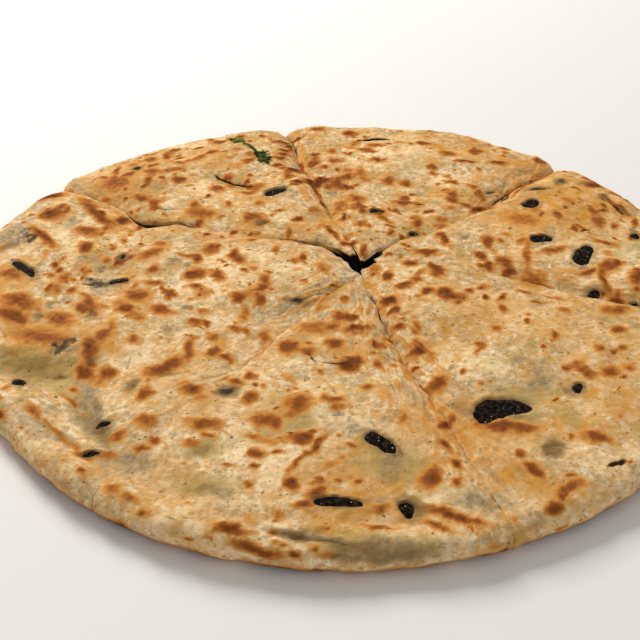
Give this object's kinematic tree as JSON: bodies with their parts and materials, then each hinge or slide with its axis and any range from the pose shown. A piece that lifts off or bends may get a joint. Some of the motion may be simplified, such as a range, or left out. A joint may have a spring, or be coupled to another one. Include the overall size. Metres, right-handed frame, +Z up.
{
  "type": "stuffed flatbread",
  "caption": "Round pan-fried flatbread of two dough skins over a thin dark filling, cut into wedges that still lie together, with mushroom showing through the crust.",
  "frame": {"origin": "on the resting face, under the middle of the bread's box", "axes": "+Z up through the crust, -Y the front of the bread, +X its right"},
  "size_m": [0.2583, 0.2493, 0.0113],
  "materials": {
    "dough": "fried wheat crust with brown blisters, faintly oily",
    "filling": "moist olive-grey cooked filling",
    "mushroom": "wet dark mushroom",
    "herb": "dark cooked herb leaf"
  },
  "bodies": {
    "root": {"dough_right": "dough", "dough_back": "dough", "dough_back_left": "dough", "dough_left": "dough", "dough_front": "dough", "dough_front_right": "dough", "filling_right": "filling", "filling_back": "filling", "filling_back_left": "filling", "filling_left": "filling", "filling_front": "filling", "filling_front_right": "filling", "mushroom_01": "mushroom", "mushroom_02": "mushroom", "mushroom_03": "mushroom", "mushroom_04": "mushroom", "mushroom_05": "mushroom", "mushroom_06": "mushroom", "mushroom_07": "mushroom", "mushroom_08": "mushroom", "mushroom_09": "mushroom", "mushroom_10": "mushroom", "herb_sprig": "herb"}
  },
  "joints": []
}
